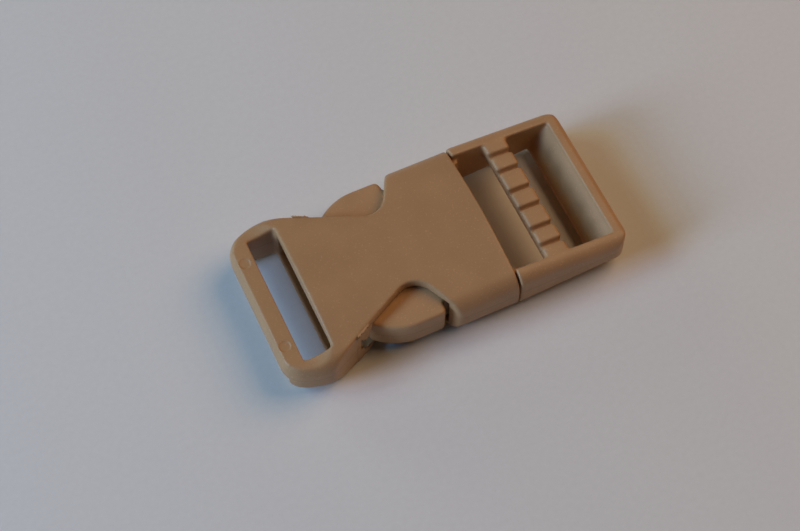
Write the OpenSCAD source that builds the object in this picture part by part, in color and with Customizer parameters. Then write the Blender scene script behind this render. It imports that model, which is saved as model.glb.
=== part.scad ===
// Side release buckle for flat webbing, shown fastened.
// Two mouldings: the socket with its strap bar, and the plug with two flexing arms and a
// ladder frame. Millimetres, +Z up. The strap bar is at -X and the ladder frame at +X.
// The origin is under the middle of the buckle, on the surface that it lies on.

/* [Webbing] */
// Width of the webbing that the buckle takes
webbing_w = 25; // [20:0.5:38]
// Side play of the webbing in each slot
webbing_play = 1; // [0.4:0.1:2]

/* [Socket] */
// Width of each rail beside the strap slot
rail_w = 3; // [2.4:0.1:4.5]
// Height of the socket along its middle
body_t = 11.4; // [10.4:0.1:14]
// Radius of the crowned top, seen along the buckle
crown_r = 62; // [50:1:120]
// Height that the crown adds to a flat-topped socket
crown_h = 0.8; // [0.4:0.1:1.2]
// Height that the rails and the underside lose on the way to the slot
body_drop = 0.5; // [0:0.1:1]
// Thickness of the top and bottom plates
plate_t = 1.8; // [1.5:0.1:2.4]
// Radius of the rounded sides and of the strap bar's outer face
side_r = 3.6; // [2:0.1:4]
// Length of the closed sleeve, from its mouth to the windows
sleeve_l = 11.9; // [10:0.1:16]
// Length of each side window, along the middle of the sides
window_l = 17.5; // [15:0.1:20]
// Length from the windows to the strap slot
throat_l = 6; // [5:0.1:11]
// Length of the strap slot along the buckle
slot_l = 5.4; // [4.6:0.1:8]
// Width of the strap bar along the buckle
bar_w = 3.8; // [2.6:0.1:5]
// Height of the strap bar's top above the ground
bar_top = 8.7; // [6:0.1:9.5]
// Thickness of the strap bar between the rails
bar_t = 4.2; // [3:0.1:5]
// Height of the rails' ends above the ground
bar_foot = 0.9; // [0.5:0.1:2]
// Width of the plates at their waist
waist_w = 15.6; // [13:0.1:18]
// Radius of the round scallop beside each shoulder
scallop_r = 4; // [3:0.1:5]
// Radius of the shoulders, seen from above
shoulder_r = 1.2; // [0.8:0.1:3]
// Angle of the shoulders to a square cut across the buckle
shoulder_angle = 27; // [10:1:35]
// Angle of the straight window edge to the length
window_angle = 27; // [20:1:32]
// How far each side bulges beside the strap slot
bulge = 0.5; // [0:0.1:1.5]
// Radius of that bulging side, seen from above
bulge_r = 14; // [12:0.5:22]
// Distance from the strap slot's inner edge back to the bulge's widest place
bulge_back = 0.8; // [0:0.1:2]
// Radius of the corners at the strap bar
corner_r = 4.8; // [4.5:0.1:7]
// Radius of the corners where the sides turn in to the windows
flank_r = 3; // [1:0.1:5]
// Length of the hollow ramp from the plates down to the strap bar's height
ramp_l = 5.9; // [4:0.1:8]
// Thickness of the sleeve's side walls at mid height
side_wall = 2.3; // [2:0.1:4]
// How far the wide hollow reaches past the windows towards the strap slot
hollow_reach = 0.5; // [0:0.1:1]
// Radius along the edges of the wide hollow
hollow_r = 2; // [0.5:0.1:3]
// Distance that the throat's sides stand in from the strap slot's ends
throat_inset = 1; // [0.5:0.1:3]
// Radius along the edges of the throat
throat_r = 0.8; // [0.4:0.1:2]
// Diameter of the two ejector pin marks on the strap bar
pin_mark_d = 2.2; // [1:0.1:2.6]
// Depth of the ejector pin marks
pin_mark_depth = 0.15; // [0.05:0.05:0.3]
// Place of the ejector pin marks, as a share of half the slot's width
pin_mark_at = 0.7; // [0.4:0.05:0.85]

/* [Plug] */
// Length of the ladder frame outside the socket
frame_l = 22.4; // [20:0.1:28]
// Height of the ladder frame at the socket's mouth
frame_t = 9.8; // [8.5:0.1:10.6]
// Height of the ladder frame at its free end
frame_end_t = 6.5; // [5:0.1:9]
// Radius of the frame's long edges
frame_r = 2.4; // [1:0.1:3]
// Radius of the edges of the frame's free end
frame_end_r = 1.4; // [0.5:0.1:2]
// Distance that the frame's sides stand in from the socket's sides
frame_inset = 0.2; // [0:0.1:1]
// Radius of the frame's two outer corners, seen from above
frame_corner_r = 3.4; // [1.5:0.1:4]
// Thickness of the cross web that joins the arms, just inside the socket's mouth
root_web = 4; // [2:0.1:6]
// Distance from the start of the ladder frame to the ribbed bar
front_slot_l = 6.2; // [5:0.1:8]
// Width of the ribbed bar along the buckle
rib_bar_w = 5; // [4:0.1:6]
// Height of the ribbed bar
rib_bar_t = 4.6; // [4:0.1:6]
// How far the ribbed bar's faces lean in towards its underside
rib_lean = 0.9; // [0:0.1:1.2]
// Height of the ribs on the bar
rib_h = 1.1; // [0.6:0.1:1.5]
// Depth of the ribs' tops under the frame's top
rib_drop = 0.1; // [0:0.1:0.5]
// Radius along the ribbed bar's upper edges and round each rib
rib_r = 0.8; // [0.4:0.1:1.2]
// Radius along the ribbed bar's lower edge, on the side of the socket
rib_foot_r = 1; // [0.5:0.1:1.5]
// How far the ribs stand out over the bar on the end bar's side
rib_bulge = 0.4; // [0:0.1:1]
// Width of the grooves between the ribs
groove_w = 0.7; // [0.4:0.1:1.2]
// Width of the end bar's top strip
end_bar_top = 2.6; // [2:0.1:4]
// Width of the end bar's foot, under its sloping inner face
end_bar_foot = 6.2; // [4:0.1:6.5]
// Distance of the sloping face's upper edge under the end bar's top
slope_top = 0.3; // [0.1:0.1:1]
// Distance of the sloping face's lower edge above the end bar's underside
slope_foot = 0.6; // [0.1:0.1:1.5]
// Length of the gussets from the arms' root into the frame
gusset = 0.9; // [0.3:0.1:2]
// Height of the arms and their pads
arm_h = 6.5; // [5:0.1:6.6]
// Thickness of each flexing arm
arm_t = 2.4; // [1.8:0.1:3]
// Distance that the pads stand in from the socket's sides
pad_inset = 1; // [0.4:0.1:2.5]
// Radius of the curved end of each pad's outer side
pad_r = 11; // [9:0.5:16]
// Length of the level part of each pad's outer side
pad_flat = 5.4; // [3:0.1:7]
// Distance from the windows' ends to the tips of the pads
pad_tip = 1.9; // [1:0.1:4]
// Radius of the corner at each pad's latching end
pad_corner_r = 1.2; // [0.5:0.1:2]
// How far the pads reach in under the plates at the waist
pad_cover = 1.2; // [0.5:0.1:2]
// Width of the guide tongue between the arms
guide_w = 5; // [3:0.1:7]
// Height that the guide tongue stands back from the arms, above and below
guide_step = 0.5; // [0.2:0.1:1.5]

/* [Fit] */
// Running gap between the plug and the inside of the socket
run_gap = 0.25; // [0.2:0.05:0.5]
// Gap between the socket's mouth and the ladder frame
mouth_gap = 0.4; // [0.2:0.05:0.8]
// Gap between the pads and the shoulders that hold them
latch_gap = 0.7; // [0.3:0.1:1.2]
// Room between the arms and the sleeve's side walls
arm_room = 1; // [0.3:0.1:2]

/* [Hidden] */
$fn = 64;
slot_w = webbing_w + webbing_play;
body_w = slot_w + 2*rail_w;
body_l = sleeve_l + window_l + throat_l + slot_l + bar_w;
total_l = body_l + mouth_gap + frame_l;
mid_z = (body_t - crown_h)/2;
// Places along the length, from the strap bar to the free end of the frame
bar_x = -total_l/2;
slot_x = bar_x + bar_w;
throat_x = slot_x + slot_l;
window_x = throat_x + throat_l;
shoulder_x = window_x + window_l;
mouth_x = shoulder_x + sleeve_l;
frame_x = mouth_x + mouth_gap;
rib_bar_x = frame_x + front_slot_l;
root_x = frame_x - root_web;
end_x = total_l/2;
// Half widths
body_y = body_w/2;
slot_y = slot_w/2;
cavity_y = body_y - side_wall;
throat_y = slot_y - throat_inset;
// Outer face of the arms, with room for them inside the sleeve
arm_y = cavity_y - arm_room;
frame_y = body_y - frame_inset;
// Centre of the round scallop between a window's straight edge and its slanting shoulder
scallop_y = waist_w/2 + scallop_r;
scallop_x = shoulder_x
    - ((body_y - scallop_y)*sin(shoulder_angle) + scallop_r)/cos(shoulder_angle);
// Depth by which a bar or an arm enters the part that carries it
overlap = 0.6;
// Depth by which curves that run into each other cross, so that each cut is clean
nick = 0.02;
// Where the straight window edge leaves the round scallop
edge_x = scallop_x - (scallop_r - nick)*sin(window_angle);
edge_y = scallop_y - (scallop_r - nick)*cos(window_angle);
// Turn from the top's middle to where the crown meets the round sides, and their height
crown_turn = asin((body_y - side_r)/(crown_r - side_r));
rim_z = body_t - crown_r + (crown_r - side_r)*cos(crown_turn) + nick;
// Centre of the bulging side, beside the strap slot's inner edge
bulge_x = throat_x - bulge_back;
bulge_y = body_y + bulge - bulge_r;
// Slope of the frame's top and bottom
taper = atan((frame_t - frame_end_t)/2/frame_l);
// Grooves between the ribs, as shares of half the slot's width
groove_at = [0.155, 0.51, 0.8];
// A length longer than any piece, for cuts that go right through
far = 200;

// Both sides of the buckle, which are alike
module both_sides() {
    children();
    mirror([0, 1, 0]) children();
}

// A rectangle with four round corners, centred
module rounded(w, h, r) {
    square([w - 2*r, h], center = true);
    square([w, h - 2*r], center = true);
    for (x = [-1, 1], y = [-1, 1])
        translate([x*(w/2 - r), y*(h/2 - r)]) circle(r);
}

// Extrudes a profile drawn in (y, z) along the length
module along_x(x0, x1)
    translate([x0, 0, 0]) rotate([90, 0, 90]) linear_extrude(x1 - x0) children();

// Extrudes a profile drawn in (x, z) across the width
module along_y(y0, y1)
    translate([0, y1, 0]) rotate([90, 0, 0]) linear_extrude(y1 - y0) children();

// What is left of a corner when it is rounded, for the corner at the origin
module corner_waste(r)
    difference() {
        translate([-1, -1]) square(r + 1);
        translate([r, r]) circle(r);
    }

// Plan of one window's cut: a round scallop between the straight edge and the shoulder
module window_cut() {
    reach = far/4;
    in_r = scallop_r - nick;
    translate([scallop_x, scallop_y]) circle(scallop_r);
    polygon([
        [edge_x, edge_y],
        [edge_x - reach*cos(window_angle), edge_y + reach*sin(window_angle)],
        [scallop_x + reach*sin(shoulder_angle), scallop_y + reach*cos(shoulder_angle)],
        shoulder_at(scallop_y + reach),
        [scallop_x + in_r*cos(shoulder_angle), scallop_y - in_r*sin(shoulder_angle)],
        [scallop_x, scallop_y]
    ]);
}

// Place of the slanting shoulder at a distance from the middle of the buckle
function shoulder_at(y) = [shoulder_x + (y - body_y)*tan(shoulder_angle) - nick, y];

// Plan of what is cut off the corner between the shoulder and the side
module shoulder_waste() {
    middle = shoulder_at(body_y - shoulder_r) + [shoulder_r/cos(shoulder_angle), 0];
    difference() {
        translate(middle)
            polygon([
                [0, 0],
                far*[-cos(shoulder_angle), sin(shoulder_angle)],
                [0, far]
            ]);
        translate(middle) circle(shoulder_r);
    }
}

// Centre of the round corner between the bulging side and the strap bar
function bar_corner() =
    let (x = bar_x + corner_r - nick, reach = bulge_r - corner_r + nick)
    [x, bulge_y + sqrt(reach*reach - (bulge_x - x)*(bulge_x - x))];

// Centre of the round corner between the bulging side and the straight window edge
function flank_corner() =
    let (
        to_edge = (edge_x - bulge_x)*sin(window_angle) + (edge_y - bulge_y)*cos(window_angle),
        out = to_edge - flank_r + nick,
        reach = bulge_r - flank_r + nick,
        along = sqrt(reach*reach - out*out)
    )
    [bulge_x, bulge_y]
        + out*[sin(window_angle), cos(window_angle)]
        + along*[-cos(window_angle), sin(window_angle)];

// Plan of what lies outside the round corner between a bulging side and its window
module flank_cut() {
    middle = flank_corner();
    from_bulge = (middle - [bulge_x, bulge_y])/norm(middle - [bulge_x, bulge_y]);
    from_edge = [sin(window_angle), cos(window_angle)];
    difference() {
        polygon([middle, middle + far*from_bulge, middle + far*from_edge]);
        translate(middle) circle(flank_r);
    }
}

// Side view of the socket, before its top is crowned: sleeve, plates, rails and bar
module socket_side() {
    throat_top = 2*mid_z - body_drop;
    ramp_h = throat_top - bar_top;
    ramp_r = (ramp_l*ramp_l + ramp_h*ramp_h)/(2*ramp_h);
    ramp_x = throat_x - ramp_l;
    level_x = (throat_x + shoulder_x)/2;
    difference() {
        polygon([
            [bar_x, bar_foot],
            [bar_x, body_t + 1],
            [mouth_x, body_t + 1],
            [mouth_x, 0],
            [level_x, 0],
            [throat_x, body_drop]
        ]);
        difference() {
            translate([bar_x - 1, bar_top]) square([throat_x - bar_x + 1, far]);
            difference() {
                translate([ramp_x, bar_top - 1]) square([ramp_l + 1, ramp_r + 1]);
                translate([ramp_x, bar_top + ramp_r]) circle(ramp_r);
            }
        }
    }
}

// Section of what is cut away outside a rounded side, with that side at distance out
module rim_section(out)
    difference() {
        union() {
            translate([out - side_r, -1]) square([far, mid_z + 1]);
            translate([out - side_r*(1 - sin(crown_turn)), mid_z]) square([far, far]);
        }
        translate([out - side_r, side_r]) circle(side_r);
        translate([out - side_r, rim_z]) circle(side_r);
        translate([0, side_r]) square([out, rim_z - side_r]);
    }

// Section of what is cut away above the crowned top
module crown_section()
    difference() {
        translate([-far/2, mid_z]) square([far, far]);
        translate([0, body_t - crown_r]) circle(crown_r, $fn = 360);
    }

// The same cut round an arc of the plan, between the directions a and b seen from its centre
module rim_turn(centre, r, a, b)
    translate([centre[0], centre[1], 0])
        intersection() {
            rotate_extrude() rim_section(r);
            translate([0, 0, -far/2]) linear_extrude(far) polygon([[0, 0], far*a, far*b]);
        }

// Everything inside the socket's outer skin, with round sides and a narrow waist
module socket_block() {
    bar_c = bar_corner();
    from_bulge = (bar_c - [bulge_x, bulge_y])/norm(bar_c - [bulge_x, bulge_y]);
    difference() {
        along_y(-body_y - 1, body_y + 1) socket_side();
        both_sides() {
            translate([0, 0, -1]) linear_extrude(far) {
                window_cut();
                flank_cut();
                shoulder_waste();
            }
            rim_turn(bar_c, corner_r, [-1, 0], from_bulge);
            rim_turn([bulge_x, bulge_y], bulge_r, [-1, 1], [0, 1]);
            along_x(bulge_x - 2, scallop_x) rim_section(body_y + bulge - nick);
            along_x(scallop_x, mouth_x + 1) rim_section(body_y);
        }
        along_y(-far/2, far/2) mirror([1, 0]) rim_section(-bar_x);
        along_x(bar_x - 1, mouth_x + 1) crown_section();
    }
}

// The hollow of the sleeve, and its narrower way through to the strap slot
module socket_hollow() {
    hollow_h = 2*(mid_z - plate_t);
    hollow_x = window_x - hollow_reach;
    hollow_l = mouth_x + 2*hollow_r - hollow_x;
    along_y(-cavity_y, cavity_y)
        translate([hollow_x + hollow_l/2, mid_z]) rounded(hollow_l, hollow_h, hollow_r);
    along_x(slot_x, window_x + hollow_r)
        translate([0, mid_z]) rounded(2*throat_y, hollow_h - body_drop, throat_r);
}

// Female half: sleeve, waisted plates, rails and strap bar in one moulding
module socket()
    color("#80644a")
    difference() {
        socket_block();
        socket_hollow();
        translate([slot_x, -slot_y, -1]) cube([slot_l, slot_w, far]);
        translate([bar_x - 1, -slot_y, -1]) cube([bar_w + 2, slot_w, 1 + bar_top - bar_t]);
        both_sides()
            translate([bar_x + bar_w/2, pin_mark_at*slot_y, bar_top - pin_mark_depth])
                cylinder(d = pin_mark_d, h = far);
    }

// The frame's outer form: tapering in height, with long round edges
module frame_block() {
    skin = 3*body_t;
    difference() {
        intersection() {
            linear_extrude(far)
                difference() {
                    translate([frame_x, -frame_y]) square([frame_l, 2*frame_y]);
                    for (s = [0, 1]) mirror([0, s])
                        translate([end_x, frame_y]) mirror([0, 1]) mirror([1, 0])
                            corner_waste(frame_corner_r);
                }
            translate([frame_x, 0, mid_z + frame_t/2]) rotate([0, taper, 0])
                along_x(-far/2, far/2) translate([0, -skin/2]) rounded(2*frame_y, skin, frame_r);
            translate([frame_x, 0, mid_z - frame_t/2]) rotate([0, -taper, 0])
                along_x(-far/2, far/2) translate([0, skin/2]) rounded(2*frame_y, skin, frame_r);
        }
        along_y(-far/2, far/2) {
            frame_end_waste();
            translate([0, 2*mid_z]) mirror([0, 1]) frame_end_waste();
        }
    }
}

// Side view of what is cut away to round the upper edge of the frame's free end
module frame_end_waste() {
    r = frame_end_r;
    x = end_x - r;
    z = frame_top(end_x) + r*tan(taper) - r/cos(taper);
    difference() {
        polygon([
            [x, z],
            [x + 3*r*sin(taper), z + 3*r*cos(taper)],
            [end_x + 1, z + 3*r],
            [end_x + 1, z]
        ]);
        translate([x, z]) circle(r);
    }
}

// Side view of the open part of the frame, up to the end bar's sloping face
module frame_opening() {
    top_x = end_x - end_bar_top;
    foot_x = end_x - end_bar_foot;
    polygon([
        [frame_x - 1, -far],
        [frame_x - 1, far],
        [top_x, far],
        [top_x, mid_z + frame_end_t/2 - slope_top],
        [foot_x, mid_z - frame_end_t/2 + slope_foot],
        [foot_x, -far]
    ]);
}

// Height of the frame's top above the ground, at a place along it
function frame_top(x) = mid_z + frame_t/2 - (x - frame_x)*tan(taper);

// The bar that bites the webbing, with ribs parted by narrow grooves
module rib_bar()
    translate([rib_bar_x, 0, frame_top(rib_bar_x) - rib_drop]) rotate([0, taper, 0])
        difference() {
            intersection() {
                along_y(-slot_y - overlap, slot_y + overlap) rib_section();
                translate([0, 0, -far/2]) linear_extrude(far) rib_plan();
            }
            for (s = [-1, 1], g = groove_at)
                translate([-1, s*g*slot_y, -rib_h]) groove();
        }

// Side view of the ribbed bar, from its top left corner
module rib_section()
    difference() {
        polygon([
            [0, 0],
            [rib_bar_w, 0],
            [rib_bar_w - rib_lean, -rib_bar_t],
            [rib_lean, -rib_bar_t]
        ]);
        mirror([0, 1]) corner_waste(rib_r);
        translate([rib_bar_w, 0]) rotate(180) corner_waste(rib_r);
        translate([rib_lean, -rib_bar_t]) corner_waste(rib_foot_r);
    }

// Plan of the ribbed bar: the side towards the end bar bulges a little at each rib
module rib_plan() {
    ends = 1 + 2*overlap/slot_y;
    edges = concat([-ends], [for (i = [2:-1:0]) -groove_at[i]], groove_at, [ends])*slot_y;
    translate([-1, -slot_y - 1]) square([1 + rib_bar_w - rib_bulge, slot_w + 2]);
    for (i = [0:len(edges) - 2]) {
        w = edges[i + 1] - edges[i] - groove_w/2;
        translate([rib_bar_w/2, (edges[i] + edges[i + 1])/2]) rounded(rib_bar_w, w, rib_r);
    }
}

// One groove along the length, with a round bottom
module groove() {
    rotate([0, 90, 0]) cylinder(d = groove_w, h = rib_bar_w + 2);
    translate([0, -groove_w/2, 0]) cube([rib_bar_w + 2, groove_w, far]);
}

// Plan of one flexing arm with its squeeze pad
module arm_plan() {
    pad_y = body_y - pad_inset;
    heel_x = shoulder_at(cavity_y)[0] - latch_gap;
    crown_x = heel_x - pad_flat;
    tip_x = window_x + pad_tip;
    inner_y = waist_w/2 - pad_cover;
    translate([heel_x - 1, arm_y - arm_t]) square([root_x + 2 - heel_x, arm_t]);
    difference() {
        intersection() {
            union() {
                translate([crown_x, pad_y - pad_r]) circle(pad_r);
                translate([crown_x, 0]) square([heel_x - crown_x, pad_y]);
            }
            polygon([
                [tip_x, arm_y - arm_t],
                [tip_x, pad_y + 1],
                [heel_x, pad_y + 1],
                [heel_x, inner_y],
                [crown_x, inner_y]
            ]);
        }
        translate([heel_x, pad_y]) rotate(180) corner_waste(pad_corner_r);
    }
}

// Male half: ladder frame, root, two flexing arms with pads, and the guide tongue
module plug()
    color("#86694d") {
        root_y = cavity_y - run_gap;
        low = mid_z - arm_h/2;
        guide_x = window_x + pad_tip;
        difference() {
            frame_block();
            along_y(-slot_y, slot_y) frame_opening();
        }
        rib_bar();
        translate([root_x, -root_y, low]) cube([root_web, 2*root_y, arm_h]);
        both_sides() {
            translate([frame_x - 1, slot_y - gusset, low])
                cube([1 + gusset, root_y - slot_y + gusset, arm_h]);
            translate([0, 0, low]) linear_extrude(arm_h) arm_plan();
        }
        translate([guide_x, -guide_w/2, low + guide_step])
            cube([root_x + 1 - guide_x, guide_w, arm_h - 2*guide_step]);
    }

socket();
plug();
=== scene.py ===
"""Side release buckle, fastened, lying on a pale sheet: two moulded plastic pieces."""

import random
from math import cos, radians, sin

import bmesh
import bpy
from mathutils import Matrix, Vector


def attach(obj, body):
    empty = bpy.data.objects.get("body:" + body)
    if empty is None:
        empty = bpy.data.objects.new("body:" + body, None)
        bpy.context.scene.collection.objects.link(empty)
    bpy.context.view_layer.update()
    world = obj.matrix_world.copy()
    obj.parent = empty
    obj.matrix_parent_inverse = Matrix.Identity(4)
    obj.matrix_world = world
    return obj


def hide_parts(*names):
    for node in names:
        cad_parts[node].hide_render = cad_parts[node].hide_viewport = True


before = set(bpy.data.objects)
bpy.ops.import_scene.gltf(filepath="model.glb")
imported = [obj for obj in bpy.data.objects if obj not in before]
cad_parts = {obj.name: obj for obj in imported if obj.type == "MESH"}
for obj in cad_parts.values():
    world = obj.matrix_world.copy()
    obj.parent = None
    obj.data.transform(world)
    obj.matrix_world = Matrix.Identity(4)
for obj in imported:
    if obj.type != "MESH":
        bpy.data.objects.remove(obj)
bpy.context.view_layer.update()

# Sizes and places are in millimetres, and are multiplied by MM where Blender reads metres
MM = 0.001

# Places along the buckle, across it and above the sheet, as the part's source has them
BAR_X, SLOT_X, THROAT_X, WINDOW_X = -33.7, -29.9, -24.5, -18.5
MOUTH_X, FRAME_X, RIB_BAR_X, RIB_BAR_W = 10.9, 11.3, 17.5, 5.0
SLOT_Y, MID_Z = 13.0, 5.3
PIN_MARK_X, PIN_MARK_Y, PIN_MARK_R = -31.8, 9.1, 1.15
# The far window's round scallop and the start of its straight edge; the near one mirrors it
SCALLOP_X, SCALLOP_Y, SCALLOP_R = -7.63, 11.8, 4.0
EDGE_X, EDGE_Y, EDGE_ANGLE = -9.44, 8.25, radians(27)
FAR, NEAR = 1, -1

# Size of the grid that a moulding's mesh is remade on, and the share of its faces that is kept
GRID, KEPT_SHARE = 0.16, 0.35
# A smoothing that spreads by s rounds an edge to a radius of about 1.93 s, and each pass with
# a factor of 0.5 adds a quarter of a grid step's square to the square of s
RADIUS_PER_SPREAD, SPREAD_PER_PASS, PASS_FACTOR = 1.93, 0.25, 0.5
MERGE_DISTANCE = 0.002

# Radii of the socket's moulded edges
MOUTH_R, SLOT_RIM_R, BAR_R, HOLLOW_R = 0.45, 0.4, 0.5, 0.3
FAR_WINDOW_R, WAIST_R, SOCKET_R = 0.6, 0.95, 1.25
# Radii of the plug's moulded edges
PAD_R, RIB_R, LADDER_R = 1.5, 1.25, 0.85
# Where those radii change: the hollow's half width and heights, the waist's half width, how
# far the mouth's and the slot's rims reach, and how far the ribs reach past their bar
HOLLOW_Y, HOLLOW_LOW, HOLLOW_HIGH, WAIST_Y = 14.0, 1.3, 9.0, 10.5
MOUTH_RIM, SLOT_RIM, BAR_RIM, RIB_RIM_FRONT, RIB_RIM_BACK = 1.0, 0.6, 1.5, 0.8, 0.6

# Outlines of the torn webs, as (distance along the window's edge, height)
TORN_UPPER = [
    (11.8, 9.5), (7.6, 9.5), (7.7, 8.4), (8.0, 7.2), (8.3, 7.5), (8.6, 5.6), (8.9, 6.1),
    (9.3, 5.2), (9.6, 6.6), (10.1, 6.3), (10.4, 7.6), (10.8, 7.4), (11.1, 8.2), (11.8, 8.6),
]
TORN_LOWER = [
    (11.8, 6.0), (11.3, 5.3), (10.8, 3.7), (10.3, 4.1), (9.8, 2.6), (9.3, 2.9), (8.9, 1.8),
    (8.3, 2.1), (7.9, 1.4), (7.4, 1.3), (7.6, 0.8), (8.9, 0.7), (11.8, 0.6),
]
# How far the torn webs stand out of the flank, their thickness, and how deep burrs are rooted
WEB_OUT, WEB_T, BURR_ROOT = 0.1, 0.4, 0.35
# Start of the random draws that make the burrs ragged
BURR_SEED = 7

# The camera: its direction in degrees, what it looks at and from how far, and its lens
VIEW_AZIMUTH, VIEW_ELEVATION, VIEW_ROLL = -24.937, 61.37, -0.099
VIEW_TARGET, VIEW_DISTANCE, VIEW_LENS, VIEW_SENSOR = (-4.745, 1.281, 0), 334.8, 81.585, 36

# Soft lights: name, azimuth, elevation, size in metres, power in watts, colour
LIGHTS = [
    ("sky_low", 180, 20, 0.35, 5.10, (0.59, 0.75, 1.00)),
    ("sky_high", 167, 33, 0.35, 2.50, (0.20, 0.52, 1.00)),
    ("sky_side", 150, 38, 0.35, 1.29, (0.78, 1.00, 0.84)),
    ("far_wall", 120, 14, 0.35, 0.80, (1.00, 1.00, 0.88)),
    ("lamp", 4, 48, 0.9, 4.9, (1.0, 0.63, 0.34)),
    ("in_front", -90, 38, 0.6, 0.12, (1.0, 0.75, 0.5)),
]
STUDIO_GLOW, STUDIO_GLOW_STRENGTH = (1.0, 0.97, 0.95), 0.004

PAPER_COLOUR = (0.725, 0.74, 0.755)
SOCKET_COLOUR = (0.43, 0.25, 0.125)
PLUG_COLOUR = (0.455, 0.265, 0.135)
# Noises of the moulded skin, as (scale, detail): its clouds, its peel and its pale grains
SKIN_NOISES = ((150.0, 4.0), (1300.0, 2.0), (3200.0, 1.0))

# Half widths of the parting line and of the pin marks' rims, where each is full and has faded
SEAM_FULL, SEAM_FADED, RIM_FULL, RIM_FADED = 0.05, 0.22, 0.05, 0.3

# Sockets of a Mix node that mixes colours
MIX_FACTOR, MIX_A, MIX_B, MIX_RESULT = 0, 6, 7, 2


# ---------------------------------------------------------------- camera and light


def add_camera():
    """The photograph's view, found by fitting the part's own edges to it."""
    azimuth, elevation, roll = map(radians, (VIEW_AZIMUTH, VIEW_ELEVATION, VIEW_ROLL))
    target, distance = Vector(VIEW_TARGET) * MM, VIEW_DISTANCE * MM
    back = Vector(
        (sin(azimuth) * cos(elevation), -cos(azimuth) * cos(elevation), sin(elevation))
    )
    level = Vector((cos(azimuth), sin(azimuth), 0))
    upright = back.cross(level)
    right = cos(roll) * level + sin(roll) * upright
    up = -sin(roll) * level + cos(roll) * upright
    turn = Matrix((right, up, back)).transposed().to_4x4()
    data = bpy.data.cameras.new("camera")
    data.sensor_width = VIEW_SENSOR
    data.lens = VIEW_LENS
    data.clip_start = 0.01
    camera = bpy.data.objects.new("camera", data)
    camera.matrix_world = Matrix.Translation(target + back * distance) @ turn
    bpy.context.scene.collection.objects.link(camera)
    bpy.context.scene.camera = camera


def add_light(name, azimuth, elevation, size, power, colour):
    """A round soft light, 1 m from the middle of the buckle and turned to it."""
    data = bpy.data.lights.new(name, "AREA")
    data.shape = "DISK"
    data.size = size
    data.energy = power
    data.color = colour
    azimuth, elevation = radians(azimuth), radians(elevation)
    place = Vector(
        (cos(azimuth) * cos(elevation), sin(azimuth) * cos(elevation), sin(elevation))
    )
    light = bpy.data.objects.new(name, data)
    light.location = place
    light.rotation_euler = (-place).to_track_quat("-Z", "Y").to_euler()
    bpy.context.scene.collection.objects.link(light)


def add_world():
    """A faint even glow from all round, and plain display of the colours."""
    world = bpy.data.worlds.new("studio")
    world.use_nodes = True
    background = world.node_tree.nodes["Background"]
    background.inputs["Color"].default_value = (*STUDIO_GLOW, 1)
    background.inputs["Strength"].default_value = STUDIO_GLOW_STRENGTH
    bpy.context.scene.world = world
    bpy.context.scene.view_settings.view_transform = "Standard"


# ---------------------------------------------------------------- materials


def new_material(name):
    """A new material with its node tree and its shader."""
    material = bpy.data.materials.new(name)
    material.use_nodes = True
    tree = material.node_tree
    return material, tree, tree.nodes["Principled BSDF"]


def add_node(tree, kind, **values):
    """A node with its plain settings and, by name, its socket values."""
    node = tree.nodes.new(kind)
    for key, value in values.items():
        if key in node.inputs:
            node.inputs[key].default_value = value
        else:
            setattr(node, key, value)
    return node


def math_node(tree, operation, first, second=0.0):
    """A math node fed by outputs or plain numbers; returns its output."""
    node = add_node(tree, "ShaderNodeMath", operation=operation)
    for socket, value in zip(node.inputs, (first, second)):
        if isinstance(value, (int, float)):
            socket.default_value = value
        else:
            tree.links.new(value, socket)
    return node.outputs[0]


def ramp_node(tree, value, low, high, start=0.0, end=1.0, kind="SMOOTHSTEP"):
    """value mapped from low..high to start..end; returns the output."""
    node = add_node(tree, "ShaderNodeMapRange", interpolation_type=kind)
    for name, number in (
        ("From Min", low), ("From Max", high), ("To Min", start), ("To Max", end)
    ):
        node.inputs[name].default_value = number
    tree.links.new(value, node.inputs["Value"])
    return node.outputs["Result"]


def noise_node(tree, place, scale, detail):
    """A noise over the places; returns its output."""
    noise = add_node(tree, "ShaderNodeTexNoise", Scale=scale, Detail=detail)
    tree.links.new(place, noise.inputs["Vector"])
    return noise.outputs["Fac"]


def tinted(tree, colour, tone):
    """A colour made lighter and darker by a tone over the surface; returns the output."""
    mix = add_node(tree, "ShaderNodeMix", data_type="RGBA", blend_type="MULTIPLY")
    mix.inputs[MIX_FACTOR].default_value = 1.0
    mix.inputs[MIX_A].default_value = (*colour, 1)
    tree.links.new(tone, mix.inputs[MIX_B])
    return mix.outputs[MIX_RESULT]


def bump_node(tree, height, strength, distance):
    """A bump from a height; returns its normal."""
    bump = add_node(tree, "ShaderNodeBump", Strength=strength, Distance=distance)
    tree.links.new(height, bump.inputs["Height"])
    return bump.outputs["Normal"]


def paper_material():
    """Pale matt paper with a fine fibre."""
    material, tree, shader = new_material("pale_sheet")
    place = add_node(tree, "ShaderNodeTexCoord").outputs["Object"]
    fibre = noise_node(tree, place, scale=900.0, detail=3.0)
    tone = ramp_node(tree, fibre, 0.0, 1.0, 0.96, 1.04, kind="LINEAR")
    colour = tinted(tree, PAPER_COLOUR, tone)
    normal = bump_node(tree, fibre, strength=0.1, distance=0.0001)
    tree.links.new(colour, shader.inputs["Base Color"])
    tree.links.new(normal, shader.inputs["Normal"])
    shader.inputs["Roughness"].default_value = 0.9
    shader.inputs["Specular IOR Level"].default_value = 0.2
    return material


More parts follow.
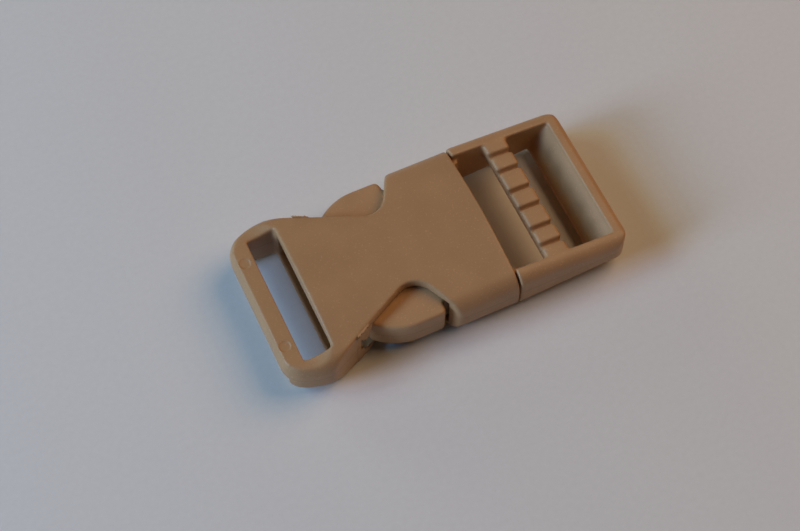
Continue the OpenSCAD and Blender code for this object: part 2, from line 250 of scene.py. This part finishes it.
def moulded_skin_group():
    """The skin that both mouldings share: clouds, pale grains and the parting line."""
    tree = bpy.data.node_groups.new("moulded_skin", "ShaderNodeTree")
    face = tree.interface.new_socket
    face(name="Place", in_out="INPUT", socket_type="NodeSocketVector")
    for name in ("Tone", "Grain", "Height"):
        face(name=name, in_out="OUTPUT", socket_type="NodeSocketFloat")
    inside = add_node(tree, "NodeGroupInput").outputs["Place"]
    outside = add_node(tree, "NodeGroupOutput")
    cloud, peel, grain = (noise_node(tree, inside, *noise) for noise in SKIN_NOISES)
    axes = add_node(tree, "ShaderNodeSeparateXYZ")
    tree.links.new(inside, axes.inputs["Vector"])
    level = math_node(tree, "SUBTRACT", axes.outputs["Z"], MID_Z * MM)
    level = math_node(tree, "ABSOLUTE", level)
    seam = ramp_node(tree, level, SEAM_FULL * MM, SEAM_FADED * MM, 1.0, 0.0)
    # No parting line inside the ladder frame
    side = math_node(tree, "ABSOLUTE", axes.outputs["Y"])
    side = math_node(tree, "GREATER_THAN", side, (SLOT_Y + 0.1) * MM)
    left = math_node(tree, "LESS_THAN", axes.outputs["X"], FRAME_X * MM)
    seam = math_node(tree, "MULTIPLY", seam, math_node(tree, "MAXIMUM", side, left))
    tone = ramp_node(tree, cloud, 0.25, 0.75, 0.95, 1.05)
    tone = math_node(tree, "MULTIPLY", tone, ramp_node(tree, seam, 0.0, 1.0, 1.0, 0.86))
    height = math_node(tree, "ADD", peel, math_node(tree, "MULTIPLY", seam, 1.2))
    tree.links.new(tone, outside.inputs["Tone"])
    tree.links.new(ramp_node(tree, grain, 0.62, 0.74), outside.inputs["Grain"])
    tree.links.new(height, outside.inputs["Height"])
    return tree


def pin_mark_rings(tree, place):
    """A mask of the two round ejector pin marks' rims on top of the strap bar."""
    axes = add_node(tree, "ShaderNodeSeparateXYZ")
    tree.links.new(place, axes.inputs["Vector"])
    x = math_node(tree, "SUBTRACT", axes.outputs["X"], PIN_MARK_X * MM)
    y = math_node(tree, "ABSOLUTE", axes.outputs["Y"])
    y = math_node(tree, "SUBTRACT", y, PIN_MARK_Y * MM)
    x, y = (math_node(tree, "MULTIPLY", v, v) for v in (x, y))
    out = math_node(tree, "SQRT", math_node(tree, "ADD", x, y))
    out = math_node(tree, "SUBTRACT", out, PIN_MARK_R * MM)
    rim = math_node(tree, "ABSOLUTE", out)
    return ramp_node(tree, rim, RIM_FULL * MM, RIM_FADED * MM, 1.0, 0.0)


def plastic_material(name, colour, skin, marked=False):
    """Brown acetal with the moulded skin; marked adds the ejector pin marks' rims."""
    material, tree, shader = new_material(name)
    link = tree.links.new
    place = add_node(tree, "ShaderNodeTexCoord").outputs["Object"]
    shared = add_node(tree, "ShaderNodeGroup", node_tree=skin)
    link(place, shared.inputs["Place"])
    grain, height = shared.outputs["Grain"], shared.outputs["Height"]
    speck = add_node(tree, "ShaderNodeMix", data_type="RGBA")
    link(math_node(tree, "MULTIPLY", grain, 0.3), speck.inputs[MIX_FACTOR])
    link(tinted(tree, colour, shared.outputs["Tone"]), speck.inputs[MIX_A])
    pale = [min(1.0, 1.5 * c + 0.05) for c in colour]
    speck.inputs[MIX_B].default_value = (*pale, 1)
    link(speck.outputs[MIX_RESULT], shader.inputs["Base Color"])
    link(ramp_node(tree, grain, 0.0, 1.0, 0.44, 0.3), shader.inputs["Roughness"])
    if marked:
        rings = math_node(tree, "MULTIPLY", pin_mark_rings(tree, place), 2.0)
        height = math_node(tree, "ADD", height, rings)
    normal = bump_node(tree, height, strength=0.4, distance=0.00005)
    link(normal, shader.inputs["Normal"])
    shader.inputs["IOR"].default_value = 1.48
    return material


# ---------------------------------------------------------------- moulded pieces


def link_mesh(name, mesh):
    """A new object in the scene that shows the mesh."""
    piece = bpy.data.objects.new(name, mesh)
    bpy.context.scene.collection.objects.link(piece)
    return piece


def settled(piece):
    """The piece's mesh with its modifiers applied, and the piece itself removed."""
    graph = bpy.context.evaluated_depsgraph_get()
    mesh = bpy.data.meshes.new_from_object(piece.evaluated_get(graph))
    bpy.data.objects.remove(piece)
    return mesh


def order_new(elements, first, place):
    """Put the elements from number first on in the order of their places.

    Extruding leaves them in another order each run."""
    elements.index_update()
    fresh = sorted((e for e in elements if e.index >= first), key=place)
    ranks = {e: first + i for i, e in enumerate(fresh)}
    elements.sort(key=lambda e: ranks.get(e, e.index))
    elements.index_update()


def moulded(node, name, radius, most, material, flash=None):
    """A copy of a CAD piece whose edges are rounded as a mould leaves them.

    radius gives the rounding in millimetres at a place; most is its largest value.
    flash adds thin burrs in millimetres, after the rounding."""
    bm = bmesh.new()
    bm.from_mesh(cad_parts[node].data)
    bmesh.ops.remove_doubles(bm, verts=bm.verts, dist=MERGE_DISTANCE * MM)
    bmesh.ops.scale(bm, vec=Vector((1, 1, 1)) / MM, verts=bm.verts)
    mesh = bpy.data.meshes.new(name)
    bm.to_mesh(mesh)
    bm.free()
    piece = link_mesh(name, mesh)
    fine = piece.modifiers.new("fine", "REMESH")
    fine.mode = "VOXEL"
    fine.voxel_size = GRID
    mesh = settled(piece)

    # The passes round an edge to the largest radius, and the weights hold them back elsewhere
    piece = link_mesh(name, mesh)
    group = piece.vertex_groups.new(name="soft")
    for vertex in mesh.vertices:
        group.add([vertex.index], (radius(*vertex.co) / most) ** 2, "REPLACE")
    soft = piece.modifiers.new("soft", "SMOOTH")
    soft.factor = PASS_FACTOR
    soft.iterations = round((most / RADIUS_PER_SPREAD / GRID) ** 2 / SPREAD_PER_PASS)
    soft.vertex_group = "soft"
    light = piece.modifiers.new("light", "DECIMATE")
    light.ratio = KEPT_SHARE
    mesh = settled(piece)

    bm = bmesh.new()
    bm.from_mesh(mesh)
    for face in bm.faces:
        face.smooth = True
    if flash:
        own_verts, own_faces = len(bm.verts), len(bm.faces)
        flash(bm)
        order_new(bm.verts, own_verts, lambda vert: tuple(vert.co))
        order_new(bm.faces, own_faces, lambda face: tuple(face.calc_center_median()))
    bmesh.ops.scale(bm, vec=Vector((MM, MM, MM)), verts=bm.verts)
    bm.to_mesh(mesh)
    bm.free()
    mesh.name = name
    mesh.materials.clear()
    mesh.materials.append(material)
    piece = link_mesh(name, mesh)
    piece.modifiers.new("even", "WEIGHTED_NORMAL")
    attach(piece, "root")
    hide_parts(node)


def socket_radius(x, y, z):
    """Rounding of the socket's edges: small at its mouth, its bar and in its hollow."""
    if x > MOUTH_X - MOUTH_RIM:
        return MOUTH_R
    if x < SLOT_X + SLOT_RIM and abs(y) < SLOT_Y:
        return SLOT_RIM_R if x > BAR_X + BAR_RIM else BAR_R
    if abs(y) < HOLLOW_Y and HOLLOW_LOW < z < HOLLOW_HIGH and x > THROAT_X + 1:
        return HOLLOW_R
    if WINDOW_X + 3 < x < SCALLOP_X - 1 and y > 0:
        return FAR_WINDOW_R
    if WINDOW_X + 3 < x and abs(y) < WAIST_Y:
        return WAIST_R
    return SOCKET_R


def plug_radius(x, y, z):
    """Rounding of the plug's edges: round pads and ribs, and the ladder frame's rims."""
    if x < MOUTH_X:
        return PAD_R
    first, last = RIB_BAR_X - RIB_RIM_FRONT, RIB_BAR_X + RIB_BAR_W + RIB_RIM_BACK
    if first < x < last and abs(y) < SLOT_Y:
        return RIB_R
    return LADDER_R


# ---------------------------------------------------------------- moulding flash


def add_sheet(bm, outline, depth):
    """A thin torn sheet of plastic: an outline of places, given its thickness by depth."""
    face = bm.faces.new([bm.verts.new(place) for place in outline])
    grown = bmesh.ops.extrude_face_region(bm, geom=[face], use_keep_orig=True)["geom"]
    corners = [g for g in grown if isinstance(g, bmesh.types.BMVert)]
    bmesh.ops.translate(bm, vec=Vector(depth), verts=corners)
    sheet = {f for v in (*face.verts, *corners) for f in v.link_faces}
    bmesh.ops.recalc_face_normals(bm, faces=list(sheet))


def add_burr(bm, path, reach, thickness, chance):
    """A thin ragged burr along a path of (place, direction away from the wall)."""
    roots, tips = [], []
    for place, out in path:
        out = Vector((*out, 0)).normalized()
        roots.append(Vector(place) - BURR_ROOT * out)
        tips.append(Vector(place) + reach * chance.random() ** 1.5 * out)
    add_sheet(bm, roots + tips[::-1], (0, 0, thickness))


def add_torn_web(bm, outline):
    """A torn sheet standing just outside the near window's flank."""
    along = Vector((-cos(EDGE_ANGLE), -sin(EDGE_ANGLE), 0))
    inwards = Vector((-sin(EDGE_ANGLE), cos(EDGE_ANGLE), 0))
    start = Vector((EDGE_X, -EDGE_Y, 0)) - WEB_OUT * inwards
    places = [start + s * along + Vector((0, 0, z)) for s, z in outline]
    add_sheet(bm, places, WEB_T * inwards)


def edge_path(side, start, end, height, count):
    """Places along a window's straight edge, from start to end along it."""
    first, last = (
        Vector((EDGE_X - s * cos(EDGE_ANGLE), side * (EDGE_Y + s * sin(EDGE_ANGLE)), height))
        for s in (start, end)
    )
    out = (-sin(EDGE_ANGLE), side * cos(EDGE_ANGLE))
    return [(first.lerp(last, i / (count - 1)), out) for i in range(count)]


def scallop_path(side, start, end, height, count):
    """Places on a window's round scallop, from start to end in degrees about its centre."""
    path = []
    for i in range(count):
        turn = radians(start + (end - start) * i / (count - 1))
        way = (cos(turn), sin(turn))
        place = (SCALLOP_X + SCALLOP_R * way[0], side * SCALLOP_Y + SCALLOP_R * way[1], height)
        path.append((place, (-way[0], -way[1])))
    return path


def socket_flash(bm):
    """Moulding flash: torn webs in the near window and burrs along both windows' edges."""
    chance = random.Random(BURR_SEED)
    add_torn_web(bm, TORN_UPPER)
    add_torn_web(bm, TORN_LOWER)
    for path, reach, thickness in (
        (edge_path(FAR, 12.5, 9.5, height=9.7, count=16), 0.45, 0.3),
        (edge_path(FAR, 6.2, 5.4, height=9.7, count=5), 0.6, 0.3),
        (scallop_path(FAR, -62, -15, height=10.0, count=18), 0.5, 0.3),
        (edge_path(NEAR, 11.6, 8.6, height=9.6, count=15), 0.6, 0.5),
        (scallop_path(NEAR, 100, 118, height=9.4, count=6), 0.3, 0.3),
    ):
        add_burr(bm, path, reach, thickness, chance)


# ---------------------------------------------------------------- the scene


add_camera()
add_world()
for light in LIGHTS:
    add_light(*light)

bm = bmesh.new()
bmesh.ops.create_grid(bm, x_segments=1, y_segments=1, size=1.5)
floor_mesh = bpy.data.meshes.new("sheet_of_paper")
bm.to_mesh(floor_mesh)
bm.free()
floor_mesh.materials.append(paper_material())
floor = link_mesh("sheet_of_paper", floor_mesh)

skin = moulded_skin_group()
moulded(
    "socket", "socket_moulding", socket_radius, SOCKET_R,
    plastic_material("brown_acetal_socket", SOCKET_COLOUR, skin, marked=True),
    flash=socket_flash,
)
moulded(
    "plug", "plug_moulding", plug_radius, PAD_R,
    plastic_material("brown_acetal_plug", PLUG_COLOUR, skin),
)
